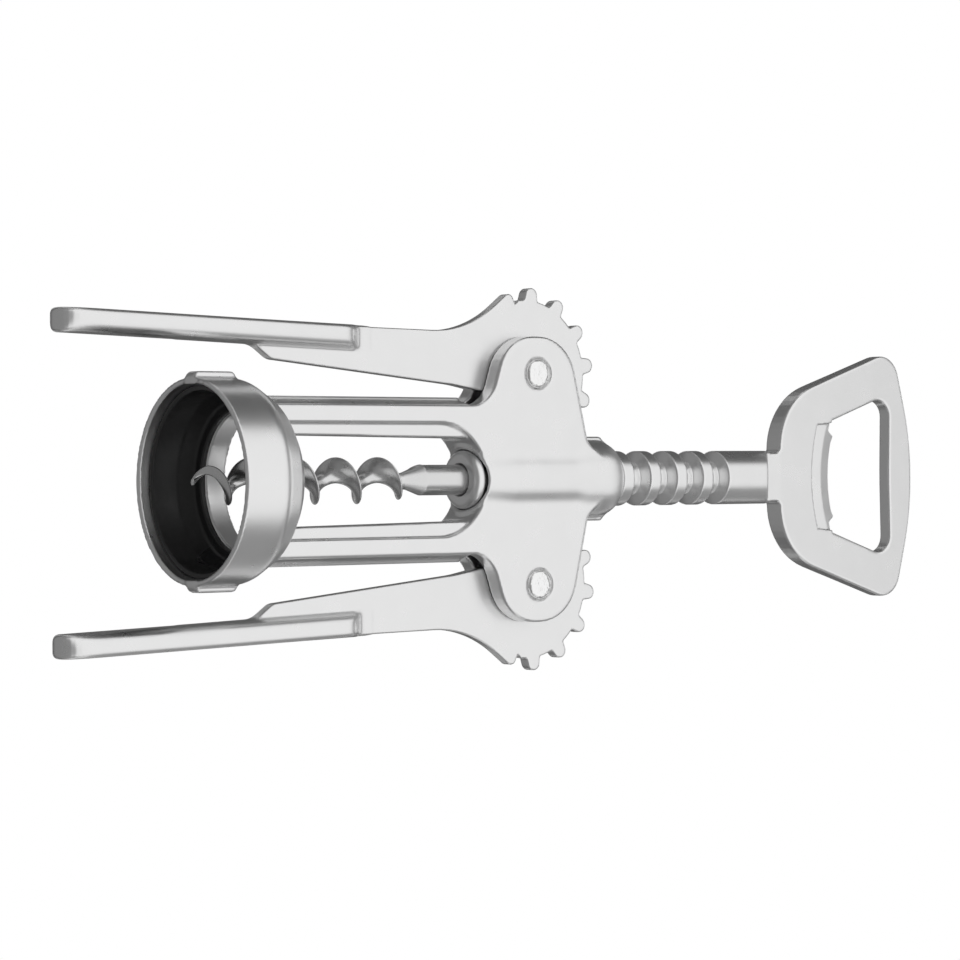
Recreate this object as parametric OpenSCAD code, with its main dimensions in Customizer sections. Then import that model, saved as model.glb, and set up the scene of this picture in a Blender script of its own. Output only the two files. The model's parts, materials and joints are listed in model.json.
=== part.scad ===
// Wing corkscrew: a bell with a plastic liner, two geared levers on rivets, and a round rack
// with a crown-cap opener for a handle and an auger worm for a core.
//
// Millimetres. The origin is the centre of the bell's mouth, +Z runs up the worm's axis to the
// handle, and the levers lie in the X-Z plane with the front of the tool towards -Y.

/* [Bell] */
// Outer radius of the bell
bell_r = 18; // [16:0.5:21]
// Height of the bell's straight wall
bell_straight = 7.8; // [6:0.2:12]
// How far the bell's side comes in to its shoulder
shoulder_in = 2.6; // [1.6:0.1:3]
// Height of the bell's shoulder
shoulder_top = 13; // [11:0.2:14]
// Height of the bell's top, round the throat
bell_top = 15.4; // [14.4:0.2:16.4]
// Thickness of the metal wall round the liner
bell_wall = 1.2; // [0.8:0.1:2]
// Thickness of the plastic liner
liner_wall = 1; // [0.6:0.1:1.8]
// Depth of the liner's pocket
liner_depth = 11; // [8:0.5:12]
// Depth of the liner's lip inside the bell's mouth
liner_lip = 2; // [1:0.1:3]
// Radius of the throat the worm comes down through
throat_r = 12.4; // [11:0.2:13.5]
// How far the lever stops stand out from the bell
stop_proud = 1.1; // [0.6:0.1:2]
// Width of a lever stop round the bell
stop_w = 2.8; // [2:0.2:6]
// Height of a lever stop
stop_h = 8.2; // [6:0.2:9]

/* [Legs and yoke] */
// Depth of the frame casting from front to back
frame_depth = 10; // [9:0.2:13]
// Half width of the window at the front face
window_half = 10.3; // [9.5:0.1:11]
// Height of the top of the window's arch
arch_top = 60.6; // [56:0.2:62]
// Width of a leg's flat front face
leg_face = 3.2; // [2.6:0.1:3.6]
// How far the web along a leg's inner side stands in from it
web_in = 1.9; // [1:0.1:2]
// How far the web lies behind the leg's front face
web_step = 1.3; // [0.8:0.1:2]
// How far a leg's outer side swells towards its middle
leg_swell_out = 1.3; // [0.8:0.1:1.6]
// Width of the low rib down a leg's outer side
leg_rib_w = 3; // [2:0.2:4]
// Height of the low rib down a leg's outer side
leg_rib_proud = 0.4; // [0.2:0.05:0.5]
// Height of the lever pivots above the bell's mouth
pivot_z = 72.7; // [70:0.1:76]
// How far a cheek reaches out past its pivot
cheek_out = 6.9; // [6:0.1:8]
// How far a cheek reaches above its pivot
cheek_up = 7.2; // [6.5:0.1:8.5]
// How far a cheek reaches below its pivot
cheek_down = 7; // [6:0.1:8]
// Radius of the boss that the rack runs in
boss_r = 6.46; // [6.2:0.02:8]

/* [Nose] */
// Height where the cheeks' top edges turn up the side of the nose
nose_foot_z = 84.4; // [83.5:0.1:85.5]
// Height where the nose starts to round over
nose_z = 88.4; // [87.4:0.2:90]
// Length of the nose's rounded end
nose_len = 4.2; // [3:0.1:5]
// Half width of the nose from side to side, where it is wider than the boss
nose_half_w = 7.35; // [7:0.05:7.4]
// How far the fins up the nose's two sides stand out from it
fin_proud = 1.45; // [1:0.05:1.8]
// Thickness of a fin
fin_t = 3; // [2:0.2:4]
// Height of a fin's top
fin_top = 90.2; // [88:0.1:90.6]

/* [Rack] */
// Outer radius of the rack
rack_r = 5.2; // [4.8:0.1:5.6]
// Distance from one groove to the next
rack_pitch = 6.6; // [6.4:0.05:6.8]
// Number of grooves
groove_count = 8; // [8:1:9]
// Width of a groove at the surface
groove_top_w = 4.1; // [4:0.1:4.5]
// Width of a groove at its floor
groove_floor_w = 2.1; // [2:0.1:2.6]
// Height of the rack's lower end
rack_bottom = 63; // [62.6:0.1:63.5]
// Height of the stop ring's lower face
ring_bottom = 57.8; // [57:0.1:59]
// Outer radius of the stop ring
ring_r = 5.5; // [5.4:0.1:5.7]
// Radius of the ring's rounded outer edges
ring_round = 1.4; // [1:0.05:1.45]
// Height of the ring's rounded flange
ring_flange = 2.9; // [2.9:0.05:3.1]
// Radius of the neck above the flange
ring_neck_r = 4.6; // [4.2:0.1:4.9]

/* [Levers] */
// Teeth that a full circle would hold
teeth_round = 14; // [14:1:14]
// Teeth on the sector, not counting the horn
tooth_count = 8; // [8:1:8]
// Tooth height above the pitch circle
tooth_add = 1.4; // [1.2:0.05:1.5]
// Tooth depth below the pitch circle
tooth_ded = 0.95; // [0.9:0.05:1.4]
// Radius of a tooth's round tip
tooth_tip = 1.38; // [1.1:0.02:1.4]
// Half width of a tooth at its root
tooth_root_half = 1.65; // [1.4:0.05:1.7]
// Angle of the lowest tooth below the pivot's level
tooth_phase = 5.8; // [4:0.1:7]
// Thickness of the flat arm and toothed sector
plate_t = 2.4; // [2:0.1:3]
// Height of the lever's tip at rest
lever_tip_z = -26.6; // [-32:0.2:-18]
// Radius of the tip's front and back edges
grip_tip_round = 3.6; // [2.4:0.1:3.7]
// Height where the grip runs out into the flat arm
grip_top_z = 35; // [28:0.5:37]
// Width of the grip
grip_w = 4.2; // [3.8:0.1:5]
// Depth of the grip from front to back
grip_depth = 7.6; // [6:0.2:9]
// Distance from the axis to the middle of the grip at its tip
grip_tip_x = 27.4; // [27.4:0.1:31]
// Distance from the axis to the middle of the grip at its top
grip_top_x = 25.5; // [25.2:0.1:26.5]

/* [Rivets] */
// Radius of the rivet's shank
rivet_r = 2.2; // [1.8:0.1:2.4]
// Radius of the rivet's head
rivet_head_r = 2.65; // [2.6:0.05:3]
// How far the head stands out from the cheek
rivet_proud = 0.35; // [0.1:0.05:0.6]
// Depth the head is let into the cheek
rivet_sunk = 0.7; // [0.4:0.1:1]

/* [Handle] */
// Height of the end of the round shank
neck_z = 133; // [132:0.2:135]
// Height where the round shank starts to slope in to the flat neck
ramp_z = 129.6; // [128:0.2:131]
// Half width of the flat neck
neck_half = 4.75; // [4:0.05:5]
// Thickness of the handle at the neck
handle_t_neck = 4.3; // [4:0.1:5.4]
// Thickness of the handle at the far end
handle_t_end = 2.7; // [2.2:0.1:3.4]
// Height of the handle's shoulders
shoulder_z = 135.5; // [134.4:0.1:136]
// Height of the handle's far end
handle_end_z = 172.7; // [170:0.1:176]
// Half width of the handle's widest place
handle_half = 25.7; // [24.6:0.1:27]
// Half width of the handle's shoulders before rounding
shoulder_half = 14.9; // [14.4:0.1:15.4]
// Width of the handle's side arms
handle_arm_w = 8.2; // [7.4:0.1:9]
// Width of the handle's end bar
handle_bar_w = 6.5; // [6:0.1:8]
// Height of the middle of the opener's lip
lip_z = 149.6; // [148.6:0.1:150]
// Radius of the lip's hollow curve
lip_curve_r = 28.4; // [26:0.2:32]
// Half width of the opener's lip
lip_half = 8; // [7.4:0.1:8.6]
// How far the spur at each end of the lip stands out from it
spur_proud = 0.35; // [0.2:0.05:0.5]
// Width of the bevel along the lip
lip_bevel_w = 2.3; // [2:0.1:3]
// Width of the sunk ledge behind the bevel
ledge_w = 3; // [2:0.1:3.2]
// Depth of the sunk ledge
ledge_deep = 0.7; // [0.4:0.05:1]
// Thickness left at the lip's edge
lip_edge_t = 1.7; // [1.2:0.1:2]

/* [Worm] */
// Height of the worm's tip
worm_tip_z = 0.8; // [0.4:0.1:3]
// Outer radius of the worm
worm_r = 4.2; // [3.8:0.1:4.6]
// Length of one turn
worm_pitch = 9.05; // [8.5:0.05:9.5]
// Height at which the blade points straight at the right lever
flight_z = 25.9; // [22:0.1:30]
// How far the blade's inner edge passes the axis
blade_past = 0.5; // [0.4:0.1:0.8]
// Radius of the worm's shank
shank_r = 2.77; // [2.4:0.01:3]
// Radius where the blade runs into the shank
shank_neck_r = 1.75; // [1.4:0.05:2.2]
// Height where the shank is full round
shank_z = 50.4; // [47:0.2:53]
// How far the shank goes up inside the rack
shank_in_rack = 20; // [14:1:26]

/* [Clearances] */
// Gap round a turning or sliding fit
run_gap = 0.06; // [0.03:0.01:0.09]
// Gap round a pressed fit
press_gap = 0.02; // [0.01:0.01:0.03]
// Gap between a lever's plate and each cheek
plate_gap = 0.25; // [0.15:0.05:0.4]
// Gap between a tooth's tip and a groove's floor
tip_gap = 0.2; // [0.15:0.05:0.3]
// Gap between a tooth's tip and the end of its slot
slot_gap = 0.4; // [0.3:0.1:0.6]
// Gap between the rack's end and the stop ring
ring_gap = 0.1; // [0.05:0.05:0.2]
// Upward travel left above the stop ring at rest
ring_travel = 1.2; // [1.1:0.1:1.6]

/* [Hidden] */
$fn = 96;

// Steps in each rounded corner of an outline
corner_steps = 8;
// A cut runs this far past the face it goes through
past = 1;

satin = "#d3d3d1";
bright = "#ececea";
steel = "#8d9092";
black = "#1c1c1d";

pitch_r = rack_pitch * teeth_round / (2 * PI);
tip_r = pitch_r + tooth_add;
root_r = pitch_r - tooth_ded;
tooth_step = 360 / teeth_round;
// The pitch line lies this far inside the rack's surface
pitch_sunk = 0.446;
pivot_x = pitch_r + rack_r - pitch_sunk;
groove_r = pivot_x - tip_r - tip_gap;
// Height of the lowest groove, where the lowest tooth lies at rest
groove_z = pivot_z - pitch_r * sin(tooth_phase);

half_depth = frame_depth / 2;
slot_w = plate_t + 2 * plate_gap;
slot_r = tip_r + slot_gap;
leg_out = window_half + leg_face;
leg_mid_out = leg_out + leg_swell_out;
web_x = window_half - web_in;
web_half = half_depth - web_step;
arch_z = arch_top - window_half;
pocket_r = bell_r - bell_wall;
shoulder_r = bell_r - shoulder_in;
// The bell's side comes in by this much for each millimetre up, and the pocket follows it
bell_lean = shoulder_in / (shoulder_top - bell_straight);
side_wall = bell_wall * norm([1, bell_lean]);
pocket_turn = bell_straight - (side_wall - bell_wall) / bell_lean;
cheek_x = pivot_x + cheek_out;
nose_end = nose_z + nose_len;
bore_r = rack_r + run_gap;
ring_seat_r = ring_r + run_gap;
ring_top = rack_bottom - ring_gap;
shank_top = rack_bottom + shank_in_rack;

// ---------------------------------------------------------------- outlines

function unit(v) = v / norm(v);

// The arc that rounds corner b, which lies between a and c. b is [x, y, radius].
function corner(a, b, c) =
    let (p = [b.x, b.y], u = unit([a.x, a.y] - p), v = unit([c.x, c.y] - p),
         half = acos(u * v) / 2, r = b.z,
         middle = p + unit(u + v) * r / sin(half),
         first = p + u * r / tan(half) - middle,
         last = p + v * r / tan(half) - middle,
         start = atan2(first.y, first.x),
         turn = atan2(first.x * last.y - first.y * last.x, first * last))
    r == 0 ? [p] : [for (i = [0:corner_steps])
        middle + r * [cos(start + turn * i / corner_steps), sin(start + turn * i / corner_steps)]];

// An outline from corners [x, y, radius], each rounded to its radius.
function rounded(pts) = [for (i = [0:len(pts) - 1])
    each corner(pts[(i + len(pts) - 1) % len(pts)], pts[i], pts[(i + 1) % len(pts)])];

// Corners of the right half, in order from bottom to top, and the same mirrored back down.
function both_sides(pts) = concat(pts, [for (i = [len(pts) - 1:-1:0])
    if (pts[i].x > 0) [-pts[i].x, pts[i].y, pts[i].z]]);

// Points of a turned profile's quarter round, from the side (0) to the top (90 degrees).
function quarter(x, z, rx, rz) = [for (i = [0:corner_steps])
    [x + rx * cos(90 * i / corner_steps), z + rz * sin(90 * i / corner_steps)]];

// Stands a flat X-Z outline up, with its thickness along Y.
module slab(thick) {
    rotate([90, 0, 0]) linear_extrude(height = thick, center = true) children();
}

// Repeats on the left side what is drawn on the right.
module both() {
    children();
    mirror([1, 0, 0]) children();
}

// A round bar along Y.
module cross_bar(r, len) {
    rotate([90, 0, 0]) cylinder(r = r, h = len, center = true);
}

// ---------------------------------------------------------------- frame casting

// Radius of the pocket where it narrows, at height z.
function pocket_side(z) = bell_r - side_wall - bell_lean * (z - bell_straight);

module bell_body() {
    rotate_extrude() polygon(rounded([[pocket_r, 0, 0], [bell_r, 0, 0.3], [bell_r, bell_straight, 2.5],
        [shoulder_r, shoulder_top, 1.8], [throat_r, bell_top, 0.4],
        [throat_r, liner_depth, 0], [pocket_side(liner_depth), liner_depth, 0], [pocket_r, pocket_turn, 0]]));
}

// The pad that a closed lever comes to rest on.
module lever_stop() {
    reach = bell_r + stop_proud;
    root = pocket_r + 0.15;
    intersection() {
        slab(stop_w + 2) polygon(rounded([[root, 0, 0], [reach, 0, 1.1],
            [reach, stop_h, 0.9], [pocket_side(stop_h + 1.8) + 0.15, stop_h + 1.8, 0],
            [root, pocket_turn, 0]]));
        linear_extrude(height = stop_h + 3) polygon([[root, -stop_w / 2 - 0.8], [reach, -stop_w / 2],
            [reach, stop_w / 2], [root, stop_w / 2 + 0.8]]);
    }
}

// A leg's cross section: flat at front and back, swelling to its middle on the outer side.
module leg_section() {
    polygon(rounded([[window_half, -half_depth, 0.5], [leg_out, -half_depth, 0.8],
        [leg_mid_out, 0, 4], [leg_out, half_depth, 0.8], [window_half, half_depth, 0.5]]));
}

// The web along a leg's inner side, which runs up into the arch.
module web() {
    foot_z = liner_depth + 0.4;
    top_z = arch_z + sqrt(window_half * window_half - web_x * web_x) + 0.8;
    translate([0, 0, foot_z]) linear_extrude(height = top_z - foot_z)
        polygon(rounded([[web_x, -web_half, 0.3], [window_half + 0.6, -web_half, 0],
            [window_half + 0.6, web_half, 0], [web_x, web_half, 0.3]]));
}

module leg() {
    foot_z = liner_depth + 0.4;
    translate([0, 0, foot_z]) linear_extrude(height = arch_z - foot_z) leg_section();
    translate([leg_mid_out - 2, -leg_rib_w / 2, foot_z + 0.2])
        cube([2 + leg_rib_proud - 0.2, leg_rib_w, pivot_z - slot_r + 1 - foot_z]);
}

// Outline of both cheeks together, with the arch cut out.
module yoke_outline() {
    step_z = pivot_z - 11.2;
    difference() {
        polygon(rounded(both_sides([
            [leg_out, arch_z - 0.5, 0], [leg_out, step_z, 5.8],
            [cheek_x, pivot_z - cheek_down, 8.2], [cheek_x, pivot_z + cheek_up, 8.6],
            [7.2, nose_foot_z, 1.6], [4, nose_z - 0.8, 0]])));
        translate([0, arch_z]) circle(r = window_half);
        translate([-window_half, arch_z - past]) square([2 * window_half, past]);
    }
}

// Round boss up the middle, bevelled where it starts, trimmed below by the arch and ending in
// the rounded nose that the rack comes out of.
module boss() {
    bevel = 0.5;
    difference() {
        rotate_extrude() polygon(concat([[0, arch_z], [boss_r - bevel, arch_z], [boss_r - bevel, arch_top],
            [boss_r, arch_top + 1.5 * bevel]], nose_round(boss_r), [[0, nose_end]]));
        translate([0, 0, arch_z]) cross_bar(window_half, 3 * boss_r);
    }
}

// The nose's rounded end, from radius r in to a thin rim round the bore.
function nose_round(r) = quarter(bore_r + 0.3, nose_z, r - bore_r - 0.3, nose_len);

// The nose is wider from side to side than from front to back, and swells out of the boss.
module nose() {
    start = nose_foot_z - 4;
    intersection() {
        scale([nose_half_w / boss_r, 1, 1]) rotate_extrude()
            polygon(concat([[0, start], [boss_r, start]], nose_round(boss_r), [[0, nose_end]]));
        rotate_extrude() polygon(concat([[0, start], [5.6, start], [nose_half_w, start + 3.8]],
            nose_round(nose_half_w), [[0, nose_end]]));
    }
}

// Thin fin up each side of the nose.
module fin() {
    reach = boss_r + fin_proud;
    slab(fin_t) polygon(rounded([[boss_r - 1, nose_foot_z - 2, 0], [reach, nose_foot_z - 2, 0],
        [reach, fin_top, 0.4], [boss_r - 1, fin_top + 2.4, 0]]));
}

// Everything that is cut out of the casting for the moving pieces.
module frame_cuts() {
    cylinder_h = nose_end - arch_z + past;
    translate([0, 0, arch_z]) cylinder(r = bore_r, h = cylinder_h);
    translate([0, 0, arch_z]) cylinder(r = ring_seat_r, h = ring_top + ring_travel - arch_z);
    both() translate([pivot_x, 0, pivot_z]) {
        cross_bar(slot_r, slot_w);
        cross_bar(rivet_r + press_gap, frame_depth + 2 * past);
        for (side = [-1, 1]) translate([0, side * (half_depth - rivet_sunk / 2 + past / 2), 0])
            cross_bar(rivet_head_r + 0.15, rivet_sunk + past);
    }
}

module frame_casting() {
    color(satin) difference() {
        union() {
            bell_body();
            both() {
                lever_stop();
                difference() {
                    union() {
                        leg();
                        web();
                    }
                    cylinder(r = throat_r + 0.3, h = bell_top - 0.2);
                }
                fin();
            }
            slab(frame_depth) yoke_outline();
            boss();
            nose();
        }
        frame_cuts();
    }
}

// ---------------------------------------------------------------- liner

module bell_liner() {
    outer = pocket_r - press_gap;
    inner = outer - liner_wall;
    top = liner_depth - press_gap;
    floor_z = liner_depth - liner_wall;
    turn = pocket_turn - 0.3 * liner_wall;
    deep_r = pocket_side(liner_depth) - press_gap;
    lip = liner_lip;
    color(black) rotate_extrude() polygon([[inner, lip + 0.4], [inner + 0.4, lip], [outer, lip],
        [outer, pocket_turn], [deep_r, top], [throat_r + 0.2, top], [throat_r + 0.2, floor_z],
        [inner - bell_lean * (floor_z - turn), floor_z], [inner, turn]]);
}

// ---------------------------------------------------------------- levers

// One tooth, pointing along +X from the sector's centre.
function tooth() =
    let (middle = tip_r - tooth_tip)
    concat([[root_r - 0.4, -tooth_root_half]],
        [for (i = [-5:5]) [middle + tooth_tip * cos(i * 16), tooth_tip * sin(i * 16)]],
        [[root_r - 0.4, tooth_root_half]]);

// The toothed sector. The rack lies to its left, so the lowest tooth points to -X.
module sector() {
    first = 180 + tooth_phase;
    last = first - tooth_step * (tooth_count - 1);
    for (i = [0:tooth_count - 1]) rotate(first - i * tooth_step) polygon(tooth());
    polygon(concat([for (i = [0:40]) let (a = last - 12 + (first + 9 - last + 12) * i / 40)
            root_r * [cos(a), sin(a)]],
        [[-9, -3.5], [-4, -8], [4, -12]]));
}

// Outline of the flat arm from the grip's step to the horn beside the last tooth.
module arm_outline() {
    horn = [tip_r * cos(tooth_step - tooth_phase - 5), -tip_r * sin(tooth_step - tooth_phase - 5)];
    top_out = grip_top_x + grip_w / 2;
    top_in = grip_top_x - grip_w / 2;
    polygon(rounded([
        [top_in + 1.6, -2, 0], [top_in + 0.95, 12.2, 2.4], [21.42, 16.3, 3],
        [pivot_x - 2.1, 56, 30], [pivot_x - 3.4, pivot_z - 10, 0],
        [pivot_x - 2, pivot_z, 0], [pivot_x + 8, pivot_z + 3, 0], [pivot_x + 12.6, pivot_z - 2.1, 0.3],
        [pivot_x + horn.x - 0.2, pivot_z + horn.y + 0.7, 1.1], [top_out - 0.5, pivot_z - 13.4, 23],
        [top_out - 0.1, 36, 0], [top_out + 0.8, -2, 0]]));
}

// A bar, tilted to follow the lever, that ends in a run-out at its top. Its front and back are
// round, more so on the side towards the bell.
module grip() {
    reach = grip_top_z - lever_tip_z;
    lean = atan((grip_tip_x - grip_top_x) / reach);
    side = grip_w / 2;
    front = grip_depth / 2;
    tip_round = min(grip_tip_round, front - 0.2);
    intersection() {
        translate([grip_tip_x, 0, lever_tip_z]) rotate([0, -lean, 0]) translate([0, 0, -3])
            linear_extrude(height = reach + 12) polygon(rounded([
                [side, -front, 0.4 * grip_w], [side, front, 0.4 * grip_w],
                [-side, front, 0.55 * grip_w], [-side, -front, 0.55 * grip_w]]));
        translate([grip_tip_x, 0, 0]) rotate([90, 0, 90]) linear_extrude(height = 30, center = true)
            polygon(rounded([
                [-front, lever_tip_z, tip_round], [front, lever_tip_z, tip_round],
                [front, grip_top_z - 2.5, 2.5], [plate_t / 2 - 0.1, grip_top_z, 1],
                [plate_t / 2 - 0.1, grip_top_z + 3, 0], [0.1 - plate_t / 2, grip_top_z + 3, 0],
                [0.1 - plate_t / 2, grip_top_z, 1], [-front, grip_top_z - 2.5, 2.5]]));
    }
}

module lever() {
    color(satin) difference() {
        union() {
            slab(plate_t) union() {
                arm_outline();
                translate([pivot_x, pivot_z]) sector();
            }
            grip();
        }
        translate([pivot_x, 0, pivot_z]) cross_bar(rivet_r + run_gap, grip_depth);
    }
}

module right_lever() {
    lever();
}

module left_lever() {
    mirror([1, 0, 0]) lever();
}

// ---------------------------------------------------------------- rivets

module rivet() {
    face = half_depth + rivet_proud;
    seat = half_depth - rivet_sunk;
    color(bright) translate([pivot_x, 0, pivot_z]) rotate([90, 0, 0]) rotate_extrude()
        polygon(concat([[0, -face], [rivet_head_r - 0.6, -face], [rivet_head_r, -face + 0.35],
            [rivet_head_r, -seat], [rivet_r, -seat], [rivet_r, seat], [rivet_head_r, seat],
            [rivet_head_r, face - 0.35], [rivet_head_r - 0.6, face], [0, face]]));
}

module right_rivet() {
    rivet();
}

module left_rivet() {
    mirror([1, 0, 0]) rivet();
}

// ---------------------------------------------------------------- rack and handle

// The rack's turned outline: plain ends and evenly spaced grooves with sloping sides.
module rack_profile() {
    polygon(concat([[0, rack_bottom], [rack_r, rack_bottom]],
        [for (i = [0:groove_count - 1]) let (z = groove_z + i * rack_pitch) each [
            [rack_r, z - groove_top_w / 2], [groove_r, z - groove_floor_w / 2],
            [groove_r, z + groove_floor_w / 2], [rack_r, z + groove_top_w / 2]]],
        [[rack_r, neck_z], [0, neck_z]]));
}

// Front and back slopes that bring the round shank in to the flat neck.
module shank_ramps() {
    slope = 0.76;
    flat = handle_t_neck / 2;
    for (side = [0, 1]) mirror([0, side, 0]) rotate([90, 0, 90])
        linear_extrude(height = 3 * rack_r, center = true)
            polygon([[rack_r + past, ramp_z - slope * past], [flat, ramp_z + slope * (rack_r - flat)],
                [flat, neck_z + past], [rack_r + past, neck_z + past]]);
}

module handle_outline() {
    polygon(rounded(both_sides([
        [neck_half, ramp_z, 0], [neck_half, shoulder_z, 0.8], [shoulder_half, shoulder_z + 0.1, 13.4],
        [handle_half, handle_end_z - 5.1, 5], [0, handle_end_z + 1.7, 55]])));
}

// The loop's opening. The side towards the neck is the opener's hollow lip with a spur at each end.
module loop_outline() {
    lean = (handle_half - shoulder_half) / (handle_end_z - 5.1 - shoulder_z);
    side_x = shoulder_half - handle_arm_w / cos(atan(lean));
    far_z = handle_end_z - handle_bar_w;
    spur_a = asin(lip_half / lip_curve_r);
    arc = [for (i = [0:6]) let (a = spur_a * i / 6)
        [lip_curve_r * sin(a), lip_z + lip_curve_r * (1 - cos(a)) + (i == 6 ? spur_proud : 0), 0]];
    near = [side_x + lean * (lip_z + 0.5 - shoulder_z), lip_z + 0.5];
    far = side_x + lean * (far_z - shoulder_z);
    polygon(rounded(both_sides(concat(arc,
        [[lip_half + 1.1, lip_z + 0.1, 0.4], [near.x, near.y, 0.3], [far, far_z, 3.2], [0, far_z - 0.3, 60]]))));
}

// Cuts the sunk ledge and the bevel into one face of the handle, along the opener's lip.
module lip_cut() {
    face = handle_t_neck / 2;
    bevel_r = lip_curve_r + lip_bevel_w;
    edge_y = lip_edge_t / 2;
    lean_t = (handle_t_neck - handle_t_end) / 2 / (handle_end_z - shoulder_z);
    ledge_y = face - lean_t * (lip_z - shoulder_z) - ledge_deep;
    intersection() {
        translate([0, 0, lip_z + lip_curve_r]) rotate([90, 0, 0]) rotate_extrude()
            polygon([[lip_curve_r - 2.5, edge_y - 0.3], [lip_curve_r, edge_y], [bevel_r, ledge_y],
                [bevel_r + ledge_w, ledge_y], [bevel_r + ledge_w, face + past], [lip_curve_r - 2.5, face + past]]);
        slab(4 * face) polygon([[-lip_half - 3, lip_z + 2], [-lip_half - 2.2, lip_z - 6],
            [lip_half + 2.2, lip_z - 6], [lip_half + 3, lip_z + 2]]);
    }
}

module handle() {
    difference() {
        intersection() {
            slab(handle_t_neck + 2) difference() {
                handle_outline();
                loop_outline();
            }
            rotate([90, 0, 90]) linear_extrude(height = 3 * handle_half, center = true) polygon([
                [-handle_t_neck / 2, ramp_z - past], [handle_t_neck / 2, ramp_z - past],
                [handle_t_neck / 2, shoulder_z], [handle_t_end / 2, handle_end_z + past],
                [-handle_t_end / 2, handle_end_z + past], [-handle_t_neck / 2, shoulder_z]]);
        }
        lip_cut();
    }
}

module rack_handle() {
    color(satin) difference() {
        union() {
            difference() {
                rotate_extrude() rack_profile();
                shank_ramps();
            }
            handle();
        }
        translate([0, 0, rack_bottom - past]) cylinder(r = shank_r + press_gap, h = shank_in_rack + past);
    }
}

// ---------------------------------------------------------------- worm

// Rises smoothly from 0 to 1 as x goes from 0 to 1.
function ease(x) = let (t = min(1, max(0, x))) t * t * (3 - 2 * t);

// The blade's outline at one height, seen from above: half of its [angle, share of full reach].
// The blade points to angle 0 and is thin at its outer edge.
blade_share = [[0, 1], [8, 0.97], [18, 0.88], [30, 0.72], [40, 0.48], [46, 0.2]];
core_angles = [75, 120, 180];
half_angles = concat([for (p = blade_share) p[0]], core_angles);
ring_angles = concat(half_angles, [for (i = [len(half_angles) - 2:-1:1]) 360 - half_angles[i]]);

worm_steps = 18;
blade_end_z = shank_z - 7;
ring_count = round((shank_z + 0.2 - worm_tip_z) / worm_pitch * worm_steps);
function ring_z(i) = worm_tip_z + (shank_z + 0.2 - worm_tip_z) * i / ring_count;

// Reach of the blade at height z: it grows from the sharp tip and dies away below the shank.
function blade_reach(z) = worm_r * sqrt(min(1, 0.02 + (z - worm_tip_z) / (0.7 * worm_pitch)))
    - (worm_r - shank_r) * ease((z - blade_end_z + 2) / 6);

// Radius of the core at height z, which swells below the shank to meet it.
function core_reach(z) = blade_past * min(1, 0.3 + (z - worm_tip_z) / worm_pitch)
    + (shank_neck_r - blade_past) * ease((z - blade_end_z) / 4)
    + (shank_r - 0.05 - shank_neck_r) * ease((z - shank_z + 2.6) / 2.4);

function share_at(a) = let (t = a > 180 ? 360 - a : a) t >= 46 ? 0 : lookup(t, blade_share);

// A single closed surface of rings that turn as they rise.
function worm_points() = [for (i = [0:ring_count]) let (z = ring_z(i),
        turn = 360 * (z - flight_z) / worm_pitch, blade = blade_reach(z), core = core_reach(z))
    for (a = ring_angles) let (r = max(core, blade * share_at(a)))
        [r * cos(a + turn), r * sin(a + turn), z]];

module worm_blade() {
    n = len(ring_angles);
    polyhedron(points = worm_points(), faces = concat(
        [[for (j = [0:n - 1]) j]],
        [for (i = [0:ring_count - 1]) for (j = [0:n - 1]) let (a = i * n + j, b = i * n + (j + 1) % n)
            each [[a, a + n, b + n], [a, b + n, b]]],
        [[for (j = [n - 1:-1:0]) ring_count * n + j]]), convexity = 10);
}

module worm() {
    color(steel) union() {
        worm_blade();
        translate([0, 0, shank_z]) cylinder(r = shank_r, h = shank_top - shank_z);
    }
}

// ---------------------------------------------------------------- stop ring

module stop_ring() {
    hole = shank_r + run_gap;
    flange_top = ring_bottom + ring_flange;
    color(satin) rotate_extrude() polygon(rounded([[hole, ring_bottom + 0.3, 0], [hole + 0.3, ring_bottom, 0],
        [ring_r, ring_bottom, ring_round], [ring_r, flange_top, ring_round], [ring_neck_r, flange_top, 0],
        [ring_neck_r, ring_top, 0], [hole, ring_top, 0]]));
}

frame_casting();
bell_liner();
left_lever();
right_lever();
left_rivet();
right_rivet();
rack_handle();
worm();
stop_ring();
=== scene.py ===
"""The looks of a wing corkscrew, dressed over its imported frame.

The castings (frame, levers, rack with its handle) are solids given by a signed distance in space:
rounded slabs, turned profiles and smooth fillets between them, sampled on a grid and skinned with
a net of quads. The turned and wound pieces (liner, rivets, ring, worm) are surfaces of two
parameters. Classes hold sizes in millimetres; a mesh is scaled to metres when it is made.
"""

from __future__ import annotations

import json
import logging
import math
from dataclasses import dataclass
from enum import Enum
from typing import Callable

import bmesh
import bpy
import numpy as np
from mathutils import Matrix, Vector


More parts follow.
